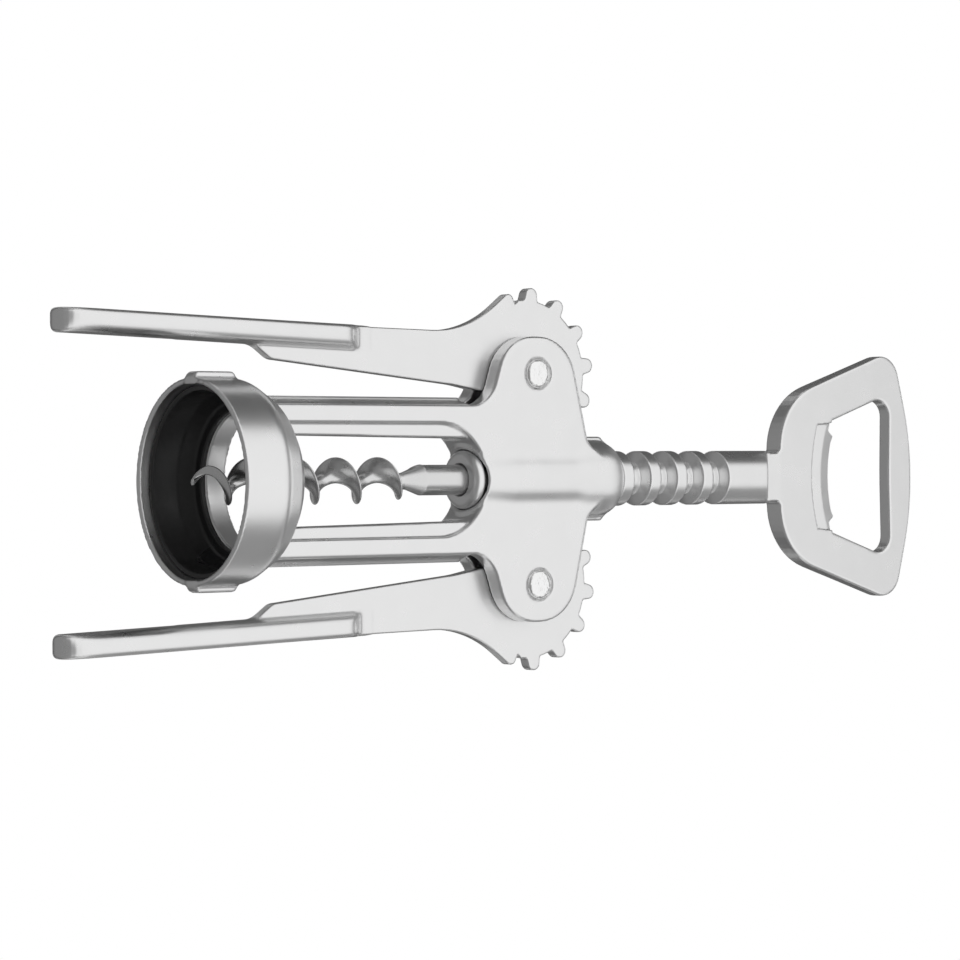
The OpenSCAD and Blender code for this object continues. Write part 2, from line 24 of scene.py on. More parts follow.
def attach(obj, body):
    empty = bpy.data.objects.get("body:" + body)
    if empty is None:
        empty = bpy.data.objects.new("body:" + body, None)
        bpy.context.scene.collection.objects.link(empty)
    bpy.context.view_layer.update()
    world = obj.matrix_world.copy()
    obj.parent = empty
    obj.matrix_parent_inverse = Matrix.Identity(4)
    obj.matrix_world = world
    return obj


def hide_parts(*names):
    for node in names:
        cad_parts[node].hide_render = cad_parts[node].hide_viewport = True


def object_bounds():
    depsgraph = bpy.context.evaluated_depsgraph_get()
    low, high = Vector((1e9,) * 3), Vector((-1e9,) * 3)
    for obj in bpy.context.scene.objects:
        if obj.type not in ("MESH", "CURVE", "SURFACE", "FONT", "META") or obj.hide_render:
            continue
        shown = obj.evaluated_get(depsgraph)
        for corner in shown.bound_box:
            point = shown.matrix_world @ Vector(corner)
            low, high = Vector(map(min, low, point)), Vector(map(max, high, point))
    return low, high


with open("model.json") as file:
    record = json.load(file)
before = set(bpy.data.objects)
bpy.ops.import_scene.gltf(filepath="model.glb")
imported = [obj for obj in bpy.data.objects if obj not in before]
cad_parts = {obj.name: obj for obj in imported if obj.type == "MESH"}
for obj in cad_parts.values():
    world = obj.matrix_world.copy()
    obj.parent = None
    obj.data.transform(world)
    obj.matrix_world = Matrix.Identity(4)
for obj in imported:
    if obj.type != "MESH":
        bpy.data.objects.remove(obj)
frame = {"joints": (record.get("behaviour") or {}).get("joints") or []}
cad_low, cad_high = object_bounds()

LOG = logging.getLogger("corkscrew")
MM = 0.001

Array = np.ndarray
Solid = Callable[[Array, Array, Array], Array]
Corners = list[tuple[float, float, float]]


# ---------------------------------------------------------------- outlines and distances

def rounded(corners: Corners, steps: int = 8) -> Array:
    """Closed outline whose corners are rounded.

    Each corner's arc touches both of its edges: its centre lies along the bisector at
    radius / sin(half the angle), and its ends at radius / tan(half the angle).

    Args:
        corners: (first, second, radius) of each corner, in order round the outline.
        steps: pieces in each rounded corner.
    Returns:
        Points of the outline, one row each, without repeats.
    """
    c = np.array(corners, float)
    p, r = c[:, :2], c[:, 2:]
    u = np.roll(p, 1, axis=0) - p
    v = np.roll(p, -1, axis=0) - p
    u /= np.linalg.norm(u, axis=1, keepdims=True)
    v /= np.linalg.norm(v, axis=1, keepdims=True)
    half = np.arccos(np.clip((u * v).sum(1, keepdims=True), -1, 1)) / 2
    middle_way = (u + v) / np.linalg.norm(u + v, axis=1, keepdims=True)
    middle = p + middle_way * r / np.sin(half)
    first = p + u * r / np.tan(half) - middle
    last = p + v * r / np.tan(half) - middle
    start = np.arctan2(first[:, 1], first[:, 0])
    turn = np.arctan2(first[:, 0] * last[:, 1] - first[:, 1] * last[:, 0], (first * last).sum(1))
    angle = start[:, None] + turn[:, None] * np.linspace(0, 1, steps + 1)
    points = (middle[:, None] + r[:, None] * np.stack([np.cos(angle), np.sin(angle)], 2)).reshape(-1, 2)
    keep = np.linalg.norm(points - np.roll(points, 1, axis=0), axis=1) > 1e-6
    return points[keep]


def in_plane(points: Array, u: Array, v: Array) -> Array:
    """Signed distance in a plane to a closed outline, below zero inside it.

    The distance to the nearest edge; its sign turns at each edge that a ray to one side crosses.

    Args:
        points: the outline.
        u: first coordinate of the places asked for.
        v: second coordinate, of a shape that broadcasts with u.
    Returns:
        Distances, of the shape that u and v broadcast to.
    """
    near = np.full(np.broadcast_shapes(u.shape, v.shape), np.inf)
    sign = np.ones_like(near)
    for a, b in zip(points, np.roll(points, -1, axis=0)):
        edge = b - a
        du, dv = u - a[0], v - a[1]
        share = np.clip((du * edge[0] + dv * edge[1]) / (edge @ edge), 0, 1)
        near = np.minimum(near, (du - edge[0] * share) ** 2 + (dv - edge[1] * share) ** 2)
        above, below = v >= a[1], v < b[1]
        left = edge[0] * dv > edge[1] * du
        crossed = (above & below & left) | ~(above | below | left)
        sign = np.where(crossed, -sign, sign)
    return sign * np.sqrt(near)


def slab(flat: Array, y: Array, half: Array | float, edge: float) -> Array:
    """Distance to a plate with rounded edges.

    Two distances meet at a right angle, so the corner is a quarter circle of radius edge.

    Args:
        flat: distance in the plate's own plane.
        y: place across the plate.
        half: half of the plate's thickness.
        edge: radius of its edges.
    Returns:
        Distance to the plate.
    """
    u = flat + edge
    v = np.abs(y) - half + edge
    return np.minimum(np.maximum(u, v), 0) + np.hypot(np.maximum(u, 0), np.maximum(v, 0)) - edge


def joined(a: Array, b: Array, fillet: float) -> Array:
    """Union of two solids, with a parabolic fillet where they are equally near."""
    h = np.maximum(fillet - np.abs(a - b), 0) / fillet
    return np.minimum(a, b) - h * h * fillet / 4


def shared(a: Array, b: Array, edge: float) -> Array:
    """What two solids share, with its edge rounded."""
    return -joined(-a, -b, edge)


def carved(a: Array, b: Array, edge: float) -> Array:
    """Solid a without solid b, with the new edge rounded."""
    return shared(a, -b, edge)


def quarter(r: float, z: float, reach: float, rise: float, steps: int = 10) -> Corners:
    """Corners of a quarter ellipse, from the side (r + reach, z) to the top (r, z + rise)."""
    a = np.linspace(0, math.pi / 2, steps + 1)
    return [(r + reach * math.cos(t), z + rise * math.sin(t), 0) for t in a]


# ---------------------------------------------------------------- meshes

BLOCK = 8
# Corners of a grid cell, and the pairs of corners that its edges join
CELL = np.array([(i, j, k) for i in (0, 1) for j in (0, 1) for k in (0, 1)])
CELL_EDGES = np.array([(a, b) for a in range(8) for b in range(a + 1, 8)
                       if np.abs(CELL[a] - CELL[b]).sum() == 1])


def sampled(solid: Solid, low: Array, high: Array, step: float) -> tuple[Array, Array]:
    """Distances on a grid, worked out in full only in the blocks that the surface may cross.

    A block is skipped where its middle lies further from the surface than its corners do from
    its middle, and then holds its middle's distance all over.

    Args:
        solid: the distance function.
        low: lowest corner of the solid's box.
        high: highest corner of the solid's box.
        step: distance between grid points.
    Returns:
        The grid's first corner, and the distances.
    """
    low = np.array(low, float) - 2 * step
    count = np.ceil((np.array(high) + 2 * step - low) / (BLOCK * step)).astype(int)
    first = [low[k] + BLOCK * step * np.arange(count[k]) for k in range(3)]
    middle = (BLOCK - 1) / 2 * step
    coarse = solid(*np.meshgrid(*[f + middle for f in first], indexing="ij"))
    near = np.abs(coarse) < 1.9 * middle + step
    values = np.repeat(coarse[..., None], BLOCK ** 3, axis=3).reshape(*count, BLOCK, BLOCK, BLOCK)
    i, j, k = np.nonzero(near)
    along = step * np.arange(BLOCK)
    x = first[0][i][:, None, None, None] + along[None, :, None, None]
    y = first[1][j][:, None, None, None] + along[None, None, :, None]
    z = first[2][k][:, None, None, None] + along[None, None, None, :]
    values[near] = solid(x, y, z)
    return low, values.transpose(0, 3, 1, 4, 2, 5).reshape(count * BLOCK)


def skinned(solid: Solid, low: Array, high: Array, step: float) -> tuple[Array, Array]:
    """Skins a solid with a net of quads: one vertex in each grid cell that the surface crosses.

    A vertex starts at the mean of its cell's edge crossings and slides down the gradient on to
    the surface. Each grid edge that the surface crosses gives a quad of the four cells round it.

    Args:
        solid: the distance function.
        low: lowest corner of the solid's box.
        high: highest corner of the solid's box.
        step: distance between grid points.
    Returns:
        Vertices in millimetres, and quads of vertex numbers.
    """
    corner, grid = sampled(solid, low, high, step)
    inside = grid < 0
    count = sum(inside[tuple(slice(o, n - 1 + o) for o, n in zip(corner_of, grid.shape))].astype(np.int8)
                for corner_of in CELL)
    cells = np.argwhere((count > 0) & (count < 8))
    number = np.full(count.shape, -1, np.int32)
    number[tuple(cells.T)] = np.arange(len(cells))
    at = cells[:, None] + CELL[None]
    value = grid[at[..., 0], at[..., 1], at[..., 2]]
    a, b = value[:, CELL_EDGES[:, 0]], value[:, CELL_EDGES[:, 1]]
    crossed = (a < 0) != (b < 0)
    share = np.where(crossed, a / np.where(crossed, a - b, 1), 0)[..., None]
    start, end = CELL[CELL_EDGES[:, 0]], CELL[CELL_EDGES[:, 1]]
    mean = ((start + (end - start) * share) * crossed[..., None]).sum(1) / crossed.sum(1)[:, None]
    places = corner + step * (cells + mean)
    quads = []
    for axis in range(3):
        across = [(axis + 1) % 3, (axis + 2) % 3]
        one = np.moveaxis(inside, axis, 0)
        p = np.argwhere(one[:-1] != one[1:])
        p = p[:, np.argsort([axis] + [n for n in range(3) if n != axis])]
        p = p[(p[:, across] > 0).all(1)]
        back = np.eye(3, dtype=int)[across]
        round_it = np.stack([p - back[0] - back[1], p - back[1], p, p - back[0]], 1)
        quad = number[round_it[..., 0], round_it[..., 1], round_it[..., 2]]
        quads.append(np.where(inside[tuple(p.T)][:, None], quad, quad[:, ::-1]))
    return settled(solid, places, 0.1 * step, step), np.concatenate(quads)


def settled(solid: Solid, places: Array, small: float, most: float) -> Array:
    """Slides points on to a solid's surface: each moves back by its distance along the gradient."""
    d = solid(*places.T)
    slope = np.stack([(solid(*(places + small * e).T) - solid(*(places - small * e).T)) / (2 * small)
                      for e in np.eye(3)], 1)
    size = np.maximum((slope ** 2).sum(1), 0.02)
    return places - slope * np.clip(d / size, -most, most)[:, None]


def grid_faces(rows: int, columns: int, closed: bool = False) -> Array:
    """Quads of a grid of points whose columns close on themselves, and its rows too if closed."""
    i = np.arange(rows if closed else rows - 1)[:, None]
    j = np.arange(columns)[None]
    down, over = (i + 1) % rows, (j + 1) % columns
    quads = [i * columns + j, i * columns + over, down * columns + over, down * columns + j]
    return np.stack(quads, 2).reshape(-1, 4)


def turned(profile: Array, steps: int = 128) -> tuple[Array, Array]:
    """Surface of a closed profile of (radius, height) turned round the Z axis.

    A point at angle a is (radius cos a, radius sin a, height).

    Args:
        profile: the closed profile, counter-clockwise with the radius to the right.
        steps: steps round the axis.
    Returns:
        Vertices and quads.
    """
    a = np.linspace(0, 2 * math.pi, steps, endpoint=False)
    r, z = profile[:, :1], profile[:, 1:]
    places = np.stack([r * np.cos(a), r * np.sin(a), z + 0 * a], 2).reshape(-1, 3)
    return places, grid_faces(len(profile), steps, closed=True)[:, ::-1]


def shape(name: str, places: Array, faces: Array) -> bpy.types.Object:
    """Makes a smooth mesh object of points in millimetres.

    Args:
        name: name of the piece.
        places: vertices.
        faces: quads of vertex numbers.
    Returns:
        The new object, at the origin.
    """
    mesh = bpy.data.meshes.new(name)
    mesh.vertices.add(len(places))
    mesh.vertices.foreach_set("co", (places * MM).astype(np.float32).ravel())
    mesh.loops.add(faces.size)
    mesh.loops.foreach_set("vertex_index", faces.astype(np.int32).ravel())
    mesh.polygons.add(len(faces))
    mesh.polygons.foreach_set("loop_start", np.arange(0, faces.size, faces.shape[1], dtype=np.int32))
    mesh.update(calc_edges=True)
    mesh.validate()
    mesh.shade_smooth()
    piece = bpy.data.objects.new(name, mesh)
    bpy.context.scene.collection.objects.link(piece)
    return piece


def closed(piece: bpy.types.Object) -> bpy.types.Object:
    """Merges points that lie on each other, which closes a pole on the axis."""
    net = bmesh.new()
    net.from_mesh(piece.data)
    bmesh.ops.remove_doubles(net, verts=net.verts, dist=1e-7)
    net.to_mesh(piece.data)
    net.free()
    return piece


def cast(name: str, solid: Solid, low: tuple, high: tuple, step: float) -> bpy.types.Object:
    """Skins a solid and makes it a piece."""
    places, quads = skinned(solid, np.array(low), np.array(high), step)
    return shape(name, places, quads)


# ---------------------------------------------------------------- the frame's own places

def pivot() -> tuple[float, float]:
    """Distance of a lever's hinge from the axis, and its height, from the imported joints."""
    place = next(j["pos_m"] for j in frame["joints"] if j["name"] == "right_lever_hinge")
    return place[0] / MM, place[2] / MM


PIVOT_X, PIVOT_Z = pivot()
# The round rack's radius, and the running gap round it
RACK_R, RUN_GAP = 5.2, 0.06


@dataclass
class FrameCasting:
    """Bell, legs, cheeks, boss and nose, cast in one piece."""

    bell_r: float = 18.0
    bell_straight: float = 7.8
    shoulder_in: float = 2.6
    shoulder_late: float = 0.9
    shoulder_round: float = 4.0
    shoulder_top: float = 13.0
    bell_top: float = 15.4
    bell_wall: float = 1.2
    pocket_deep: float = 11.0
    lip: float = 2.0
    lip_draft: float = 0.3
    throat_r: float = 12.4
    stop_proud: float = 1.1
    stop_w: float = 2.8
    stop_h: float = 8.2
    depth: float = 10.0
    window_half: float = 10.3
    arch_top: float = 60.6
    leg_face: float = 3.2
    web_in: float = 1.9
    web_step: float = 1.3
    web_lean: float = 0.014
    swell_out: float = 1.3
    rib_w: float = 3.0
    rib_proud: float = 0.2
    cheek_out: float = 6.9
    cheek_up: float = 7.2
    cheek_down: float = 7.0
    boss_r: float = 6.46
    boss_taper: float = 0.26
    taper_len: float = 6.0
    taper_round: float = 9.0
    boss_proud: float = 0.35
    nose_foot_z: float = 84.4
    nose_z: float = 88.4
    nose_len: float = 4.2
    nose_half: float = 7.35
    fin_proud: float = 1.45
    fin_t: float = 3.0
    fin_top: float = 90.2
    slot_r: float = 16.5
    slot_w: float = 2.9
    seat_r: float = 5.56
    seat_top: float = 64.1
    recess_r: float = 2.9
    recess_deep: float = 0.7
    edge: float = 0.5
    step: float = 0.392

    def __post_init__(self) -> None:
        """Works out the outlines from the sizes."""
        self.arch_z = self.arch_top - self.window_half
        self.half = self.depth / 2
        self.lean = self.shoulder_in / (self.shoulder_top - self.bell_straight)
        self.side_wall = self.bell_wall * math.hypot(1, self.lean)
        self.pocket_r = self.bell_r - self.bell_wall
        self.turn_z = self.bell_straight - (self.side_wall - self.bell_wall) / self.lean
        self.bell_profile = rounded([
            (self.pocket_r + self.lip_draft, 0, 0.3), (self.bell_r, 0, 0.3),
            (self.bell_r, self.bell_straight + self.shoulder_late, self.shoulder_round),
            (self.bell_r - self.shoulder_in, self.shoulder_top, 1.8), (self.throat_r, self.bell_top, 0.2),
            (self.throat_r, self.pocket_deep, 0.1),
            (self.pocket_side(self.pocket_deep), self.pocket_deep, 0),
            (self.pocket_r, self.turn_z, 0), (self.pocket_r, self.lip, 0.3)])
        leg_out = self.window_half + self.leg_face
        mid_out = leg_out + self.swell_out
        self.rib_x = mid_out + self.rib_proud
        self.leg_section = rounded([
            (self.window_half, -self.half, 0.4), (leg_out, -self.half, 0.9), (mid_out, 0, 4),
            (leg_out, self.half, 0.9), (self.window_half, self.half, 0.4)])
        self.web_x = self.window_half - self.web_in
        self.web_top = self.arch_z + math.sqrt(self.window_half ** 2 - self.web_x ** 2) + 0.8
        self.yoke_outline = rounded([
            (-3, self.arch_z - 0.5, 0), (leg_out, self.arch_z - 0.5, 0), (leg_out, PIVOT_Z - 11.2, 5.8),
            (PIVOT_X + self.cheek_out, PIVOT_Z - self.cheek_down, 8.2),
            (PIVOT_X + self.cheek_out, PIVOT_Z + self.cheek_up, 8.6),
            (7.2, self.nose_foot_z, 1.6), (4, self.nose_z - 0.8, 0), (-3, self.nose_z - 0.8, 0)])
        nose_r = RACK_R + RUN_GAP + 0.3
        self.boss_profile = rounded([
            (-3, self.arch_z, 0), (self.boss_r - self.boss_taper, self.arch_z, 0),
            (self.boss_r - self.boss_taper, self.arch_top, self.taper_round),
            (self.boss_r, self.arch_top + self.taper_len, self.taper_round),
            *quarter(nose_r, self.nose_z, self.boss_r - nose_r, self.nose_len),
            (-3, self.nose_z + self.nose_len, 0)])
        reach = self.bell_r + self.stop_proud
        root = self.pocket_r + 0.15
        self.stop_outline = rounded([
            (root, 0, 0), (reach, 0, 1.2), (reach, self.stop_h, 0.9),
            (self.pocket_side(self.stop_h + 1.8) + 0.15, self.stop_h + 1.8, 0), (root, self.turn_z, 0)])
        fin_foot = self.nose_foot_z - 2
        self.fin_outline = rounded([
            (self.boss_r - 1, fin_foot, 0), (self.boss_r + self.fin_proud, fin_foot, 0),
            (self.boss_r + self.fin_proud, self.fin_top, 0.4), (self.boss_r - 1, self.fin_top + 2.4, 0)])

    def pocket_side(self, z: float) -> float:
        """Radius of the liner's pocket at height z, where it follows the shoulder."""
        return self.bell_r - self.side_wall - self.lean * (z - self.bell_straight)

    def legs(self, side: Array, y: Array, z: Array) -> Array:
        """Two legs that swell on their outer sides, with a low rib down them."""
        leg = in_plane(self.leg_section, side, y)
        rib = slab(np.abs(side - self.rib_x + 1.1) - 1.1, y, self.rib_w / 2, 0.3)
        leg = np.maximum(joined(leg, rib, 0.3), z - PIVOT_Z + self.slot_r - 1)
        return np.maximum(leg, self.pocket_deep + 0.4 - z)

    def webs(self, side: Array, y: Array, z: Array) -> Array:
        """Webs along the legs' inner sides, behind their front faces, that run up into the arch."""
        across = np.maximum(self.web_x - self.web_lean * z - side, side - self.window_half - 0.6)
        web = slab(across, y, self.half - self.web_step, 0.35)
        return np.maximum(np.maximum(web, z - self.web_top), self.pocket_deep + 0.4 - z)

    def yoke(self, side: Array, y: Array, z: Array, arch: Array) -> Array:
        """Cheeks with the boss, the nose and its fins run into them by fillets."""
        flat = np.maximum(in_plane(self.yoke_outline, side, z), self.window_half - arch)
        end = self.window_half - self.boss_proud - arch
        boss = shared(in_plane(self.boss_profile, self.oval(side, y, z), z), end, 0.2)
        fin = slab(in_plane(self.fin_outline, side, z), y, self.fin_t / 2, 0.3)
        return joined(joined(slab(flat, y, self.half, self.edge), boss, 0.8), fin, 0.4)

    def oval(self, side: Array, y: Array, z: Array) -> Array:
        """Distance from the axis, but shorter from side to side where the nose is wider there."""
        over = np.maximum(z - self.nose_z, 0) / self.nose_len
        swell = ease((z - self.nose_foot_z + 4) / 4) * np.sqrt(np.clip(1 - over * over, 0, 1))
        return np.hypot(side / (1 + (self.nose_half / self.boss_r - 1) * swell), y)

    def cuts(self, side: Array, y: Array, z: Array, axis_r: Array) -> Array:
        """The rack's bore, the ring's seat, the gears' slots and the rivet heads' recesses."""
        bore = np.minimum(axis_r - RACK_R - RUN_GAP, np.maximum(axis_r - self.seat_r, z - self.seat_top))
        hinge_r = np.hypot(side - PIVOT_X, z - PIVOT_Z)
        slot = np.maximum(hinge_r - self.slot_r, np.abs(y) - self.slot_w / 2)
        recess = np.maximum(hinge_r - self.recess_r, self.half - self.recess_deep - np.abs(y))
        return np.minimum(np.minimum(np.maximum(bore, self.arch_z - z), slot), recess)

    def solid(self, x: Array, y: Array, z: Array) -> Array:
        """Distance to the whole casting."""
        side, axis_r = np.abs(x), np.hypot(x, y)
        arch = np.hypot(side, np.maximum(z - self.arch_z, 0))
        bell = in_plane(self.bell_profile, axis_r, z)
        stop = slab(in_plane(self.stop_outline, side, z), y, self.stop_w / 2 + 0.2, 0.5)
        throat = np.maximum(axis_r - self.throat_r - 0.3, z - self.bell_top + 0.2)
        legs = np.maximum(self.legs(side, y, z), -throat)
        webs = np.maximum(self.webs(side, y, z), -throat)
        body = joined(joined(bell, stop, 0.6), legs, 0.5)
        body = np.minimum(body, self.yoke(side, y, z, arch))
        body = joined(body, webs, 0.6)
        return carved(body, self.cuts(side, y, z, axis_r), 0.2)

    def build(self) -> bpy.types.Object:
        """Makes the casting, which stands for its CAD node."""
        wide = PIVOT_X + self.cheek_out
        return cast("frame_casting_body", self.solid, (-wide, -self.bell_r, 0),
                    (wide, self.bell_r, self.nose_z + self.nose_len), self.step)


@dataclass
class Lever:
    """A lever: grip, flat arm and toothed sector in one casting. Drawn for the right side."""

    teeth_round: int = 14
    tooth_count: int = 8
    pitch_r: float = 14.706
    tooth_add: float = 1.4
    tooth_ded: float = 0.95
    tooth_tip: float = 1.38
    root_half: float = 1.65
    phase: float = 5.8
    plate_t: float = 2.4
    tip_z: float = -26.6
    tip_round: float = 3.6
    tip_slope: float = 8.0
    grip_top_z: float = 35.0
    grip_w: float = 4.2
    grip_depth: float = 7.6
    grip_tip_x: float = 27.4
    grip_top_x: float = 25.5
    hole_r: float = 2.26
    edge: float = 0.32
    step: float = 0.24

    def __post_init__(self) -> None:
        """Works out the outlines from the sizes."""
        self.pitch = 2 * math.pi / self.teeth_round
        tip_r = self.pitch_r + self.tooth_add
        root_r = self.pitch_r - self.tooth_ded
        top = [((tip_r - self.tooth_tip) + self.tooth_tip * math.cos(a), self.tooth_tip * math.sin(a), 0)
               for a in np.linspace(-1.4, 1.4, 11)]
        self.tooth = rounded([(root_r - 1.4, -self.root_half, 0), (root_r - 0.4, -self.root_half, 0), *top,
                              (root_r - 0.4, self.root_half, 0), (root_r - 1.4, self.root_half, 0)])
        self.first = math.pi + math.radians(self.phase)
        last = self.first - self.pitch * (self.tooth_count - 1)
        rim = np.linspace(last - 0.21, self.first + 0.157, 41)
        self.hub = rounded([*[(root_r * math.cos(a), root_r * math.sin(a), 0) for a in rim],
                            (-9, -3.5, 2), (-4, -8, 3), (4, -12, 0)])
        horn_a = self.pitch - math.radians(self.phase + 5)
        horn = (PIVOT_X + tip_r * math.cos(horn_a) - 0.2, PIVOT_Z - tip_r * math.sin(horn_a) + 0.7)
        out, inner = self.grip_top_x + self.grip_w / 2, self.grip_top_x - self.grip_w / 2
        self.arm = rounded([
            (inner + 1.6, -2, 0), (inner + 0.95, 12.2, 2.4), (21.42, 16.3, 3), (PIVOT_X - 2.1, 56, 30),
            (PIVOT_X - 3.4, PIVOT_Z - 10, 0), (PIVOT_X - 2, PIVOT_Z, 0), (PIVOT_X + 8, PIVOT_Z + 3, 0),
            (PIVOT_X + 12.6, PIVOT_Z - 2.1, 0.3), (*horn, 1.1), (out - 0.5, PIVOT_Z - 13.4, 23),
            (out - 0.1, 36, 0), (out + 0.8, -2, 0)], 12)
        front, side = self.grip_depth / 2, self.grip_w / 2
        outer, inner_round = 0.3 * self.grip_w, 0.68 * self.grip_w
        self.grip_section = rounded([
            (side, -front, outer), (side, front, outer), (-side, front, inner_round),
            (-side, -front, inner_round)], 12)
        sunk = self.plate_t / 2 - 0.5
        self.grip_side = rounded([
            *quarter(self.tip_round - front, self.tip_z + self.tip_slope, -self.tip_round, -self.tip_slope),
            (front, self.tip_z, self.tip_round),
            (front, self.grip_top_z - 3, 4), (sunk, self.grip_top_z, 1.5), (sunk, self.grip_top_z + 2, 0),
            (-sunk, self.grip_top_z + 2, 0), (-sunk, self.grip_top_z, 1.5),
            (-front, self.grip_top_z - 3, 4)], 12)

    def sector(self, x: Array, z: Array) -> Array:
        """Distance in the plane to the toothed sector. The teeth are one tooth, folded round the hinge."""
        dx, dz = x - PIVOT_X, z - PIVOT_Z
        turn = np.mod(self.first + self.pitch / 2 - np.arctan2(dz, dx), 2 * math.pi)
        number = np.minimum(np.floor(turn / self.pitch), self.tooth_count - 1)
        local = turn - self.pitch / 2 - number * self.pitch
        r = np.hypot(dx, dz)
        tooth = in_plane(self.tooth, r * np.cos(local), r * np.sin(local))
        return joined(in_plane(self.hub, dx, dz), tooth, 0.35)

    def grip(self, x: Array, y: Array, z: Array) -> Array:
        """A bar that leans outwards to its tip, with a round front and back and rounded ends."""
        slope = (self.grip_tip_x - self.grip_top_x) / (self.grip_top_z - self.tip_z)
        across = (x - self.grip_tip_x + slope * (z - self.tip_z)) / math.hypot(1, slope)
        return shared(in_plane(self.grip_section, across, y), in_plane(self.grip_side, y, z), 1.2)

    def solid(self, x: Array, y: Array, z: Array) -> Array:
        """Distance to the whole lever."""
        flat = np.minimum(in_plane(self.arm, x, z), self.sector(x, z))
        plate = slab(flat, y, self.plate_t / 2, self.edge)
        hole = np.hypot(x - PIVOT_X, z - PIVOT_Z) - self.hole_r
        return carved(joined(plate, self.grip(x, y, z), 0.9), hole, 0.2)

    def build(self) -> list[bpy.types.Object]:
        """Makes both levers; the left one is the right one mirrored, with its faces turned round."""
        low, high = np.array((3, -4, self.tip_z)), np.array((36.5, 4, 89.5))
        places, quads = skinned(self.solid, low, high, self.step)
        mirrored = shape("left_lever_body", places * (-1, 1, 1), quads[:, ::-1])
        return [mirrored, shape("right_lever_body", places, quads)]


@dataclass
class RackHandle:
    """Round rack, flat neck and the opener handle in one casting."""

    pitch: float = 6.6
    grooves: int = 8
    top_w: float = 4.1
    floor_w: float = 2.1
    first_groove: float = 71.214
    groove_r: float = 3.154
    bottom: float = 63.0
    neck_z: float = 133.0
    ramp_z: float = 129.6
    ramp_slope: float = 0.76
    neck_half: float = 4.75
    t_neck: float = 4.3
    t_end: float = 2.7
    shoulder_z: float = 135.5
    end_z: float = 172.7
    half_w: float = 25.7
    shoulder_half: float = 14.9
    arm_w: float = 8.2
    bar_w: float = 6.5
    lip_z: float = 149.6
    lip_curve_r: float = 28.4
    lip_half: float = 8.0
    spur_proud: float = 0.35
    bevel_w: float = 2.3
    ledge_w: float = 3.0
    ledge_deep: float = 0.7
    lip_edge_t: float = 1.7
    edge: float = 0.45
    step: float = 0.255

    def __post_init__(self) -> None:
        """Works out the outlines from the sizes."""
        self.groove = rounded([
            (self.groove_r, -self.floor_w / 2, 0.25), (RACK_R, -self.top_w / 2, 0),
            (RACK_R + 2, -self.top_w / 2 - 0.98, 0), (RACK_R + 2, self.top_w / 2 + 0.98, 0),
            (RACK_R, self.top_w / 2, 0), (self.groove_r, self.floor_w / 2, 0.25)])
        far = self.end_z - 5.1
        self.outer = rounded([
            (-3, self.ramp_z, 0), (self.neck_half, self.ramp_z, 0), (self.neck_half, self.shoulder_z, 1),
            (self.shoulder_half, self.shoulder_z + 0.1, 13.4), (self.half_w, far, 5),
            (0, self.end_z + 1.7, 55), (-self.half_w, far, 0)], 12)
        lean = (self.half_w - self.shoulder_half) / (far - self.shoulder_z)
        side_x = self.shoulder_half - self.arm_w * math.hypot(1, lean)
        spur = math.asin(self.lip_half / self.lip_curve_r)
        arc = [(self.lip_curve_r * math.sin(a), self.lip_z + self.lip_curve_r * (1 - math.cos(a)), 0)
               for a in np.linspace(-0.15 * spur, spur, 8)]
        arc[-1] = (arc[-1][0], arc[-1][1] + self.spur_proud, 0.2)
        near_z, far_z = self.lip_z + 0.5, self.end_z - self.bar_w
        self.loop = rounded([
            *arc, (self.lip_half + 1.1, self.lip_z + 0.1, 0.5),
            (side_x + lean * (near_z - self.shoulder_z), near_z, 0.4),
            (side_x + lean * (far_z - self.shoulder_z), far_z, 3.2),
            (0, far_z - 0.3, 60), (-6, far_z, 0)], 12)
        self.taper = (self.t_neck - self.t_end) / 2 / (self.end_z - self.shoulder_z)
        ledge = self.t_neck / 2 - self.taper * (self.lip_z - self.shoulder_z) - self.ledge_deep
        bevel_r = self.lip_curve_r + self.bevel_w
        self.lip_profile = rounded([
            (self.lip_curve_r - 2.5, self.lip_edge_t / 2 - 0.3, 0),
            (self.lip_curve_r, self.lip_edge_t / 2, 0),
            (bevel_r, ledge, 0), (bevel_r + self.ledge_w, ledge, 0.2), (bevel_r + self.ledge_w, 4, 0),
            (self.lip_curve_r - 2.5, 4, 0)])
        self.lip_side = rounded([
            (-3, self.lip_z - 6, 0), (self.lip_half + 2.2, self.lip_z - 6, 0),
            (self.lip_half + 3, self.lip_z + 4, 0), (-3, self.lip_z + 4, 0)])

    def rack(self, axis_r: Array, y: Array, z: Array) -> Array:
        """The round shank with its grooves, which are one groove repeated, and its two slopes."""
        rod = np.maximum(axis_r - RACK_R, np.maximum(self.bottom - z, z - self.neck_z))
        turn = np.clip(np.round((z - self.first_groove) / self.pitch), 0, self.grooves - 1)
        groove = in_plane(self.groove, axis_r, z - self.first_groove - turn * self.pitch)
        slope = (z - self.ramp_z + self.ramp_slope * (np.abs(y) - RACK_R)) / math.hypot(1, self.ramp_slope)
        rod = shared(rod, np.minimum(slope, np.abs(y) - self.t_neck / 2), 0.3)
        return carved(rod, groove, 0.15)

    def handle(self, x: Array, y: Array, z: Array) -> Array:
        """The looped plate, thinner towards its end, with the opener's ledge and bevel cut in its front."""
        side = np.abs(x)
        flat = np.maximum(in_plane(self.outer, side, z), -in_plane(self.loop, side, z))
        half = self.t_neck / 2 - self.taper * np.maximum(z - self.shoulder_z, 0)
        lip_r = np.hypot(x, z - self.lip_z - self.lip_curve_r)
        lip = np.maximum(in_plane(self.lip_profile, lip_r, -y), in_plane(self.lip_side, side, z))
        return carved(slab(flat, y, half, self.edge), lip, 0.2)

    def solid(self, x: Array, y: Array, z: Array) -> Array:
        """Distance to the whole piece."""
        return np.minimum(self.rack(np.hypot(x, y), y, z), self.handle(x, y, z))

